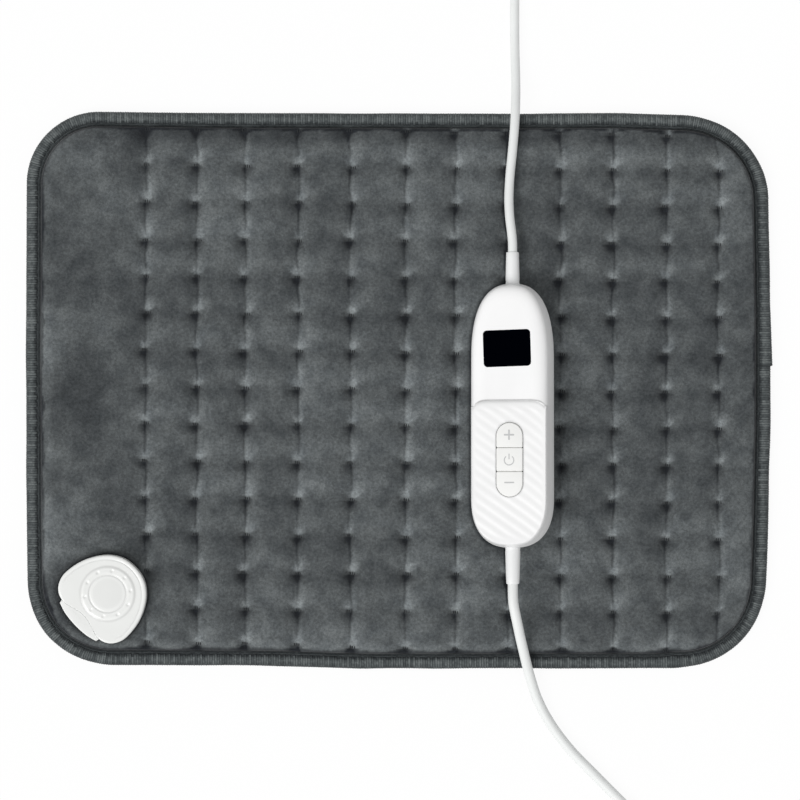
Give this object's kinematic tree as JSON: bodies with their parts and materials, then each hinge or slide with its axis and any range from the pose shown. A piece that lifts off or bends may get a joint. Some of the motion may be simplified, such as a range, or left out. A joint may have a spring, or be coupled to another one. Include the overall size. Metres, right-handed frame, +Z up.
{
  "type": "heating pad with controller",
  "caption": "Quilted plush heating pad with bound edge and corner coupling socket, a handset controller with display and push buttons, mains lead with plug and pad lead with connector.",
  "frame": {"origin": "middle of the pad's underside, on the surface it lies on, measured without the leads", "axes": "+X along the pad's long side, away from the corner with the socket; +Y along the short side, towards the edge that the mains lead crosses; +Z up out of the quilted face"},
  "size_m": [0.4, 0.6645, 0.0401],
  "materials": {
    "plush": "short soft plush with a blotchy nap",
    "binding": "overlocked yarn, finely ribbed across the edge",
    "felt": "needle felt",
    "wire_coat": "silicone coat, satin",
    "socket_white": "moulded, satin",
    "handset_white": "moulded, gloss",
    "handset_grey": "moulded, satin",
    "gland_grey": "soft moulded sleeve, satin",
    "button_white": "fine satin",
    "display_black": "clear gloss over black",
    "cord_white": "smooth satin sheath",
    "plug_white": "moulded, satin",
    "nickel": "nickel plated",
    "steel": "zinc plated",
    "board_green": "solder mask",
    "dark_plastic": "moulded",
    "tie_black": "flat band, satin"
  },
  "bodies": {
    "root": {"pad_cover_top": "plush", "pad_cover_bottom": "plush", "edge_binding": "binding", "heating_carrier": "felt", "heating_wire": "wire_coat", "thermal_cutout": "steel", "temperature_sensor": "dark_plastic", "socket_backplate": "steel", "socket_housing": "socket_white", "socket_cover": "socket_white", "socket_pin_carrier": "dark_plastic", "socket_pin_1": "nickel", "socket_pin_2": "nickel", "socket_pin_3": "nickel", "socket_pin_4": "nickel", "socket_screw_1": "steel", "socket_screw_2": "steel", "socket_screw_3": "steel", "handset_front_shell": "handset_white", "handset_back_shell": "handset_grey", "display_lens": "display_black", "display_module": "dark_plastic", "circuit_board": "board_green", "relay": "dark_plastic", "smoothing_capacitor": "dark_plastic", "suppression_capacitor": "dark_plastic", "controller_chip": "dark_plastic", "fuse": "nickel", "handset_screw_1": "steel", "handset_screw_2": "steel", "handset_screw_3": "steel", "handset_screw_4": "steel", "switch_base_plus": "dark_plastic", "switch_base_power": "dark_plastic", "switch_base_minus": "dark_plastic", "mains_gland": "gland_grey", "pad_lead_gland": "gland_grey", "mains_lead": "cord_white", "mains_lead_coil": "cord_white", "mains_lead_tie": "tie_black", "mains_lead_tail": "cord_white", "pad_lead": "cord_white", "pad_lead_coil": "cord_white", "pad_lead_tie": "tie_black", "pad_lead_tail": "cord_white", "mains_plug_body": "plug_white", "mains_plug_gland": "cord_white", "mains_plug_pin_1": "nickel", "mains_plug_pin_2": "nickel", "connector_lower_shell": "plug_white", "connector_upper_shell": "plug_white", "connector_contact_block": "dark_plastic", "connector_gland": "cord_white"},
    "button_plus": {"button_plus": "button_white", "switch_plunger_plus": "dark_plastic"},
    "button_power": {"button_power": "button_white", "switch_plunger_power": "dark_plastic"},
    "button_minus": {"button_minus": "button_white", "switch_plunger_minus": "dark_plastic"}
  },
  "joints": [
    {"name": "plus_press", "type": "slide", "parent": "root", "child": "button_plus", "axis": [0.1564, -0.0431, -0.9867], "range_m": [0, 0.0005], "stiffness_N_per_m": 3000},
    {"name": "power_press", "type": "slide", "parent": "root", "child": "button_power", "axis": [0.1564, -0.0431, -0.9867], "range_m": [0, 0.0005], "stiffness_N_per_m": 3000},
    {"name": "minus_press", "type": "slide", "parent": "root", "child": "button_minus", "axis": [0.1564, -0.0431, -0.9867], "range_m": [0, 0.0005], "stiffness_N_per_m": 3000}
  ]
}
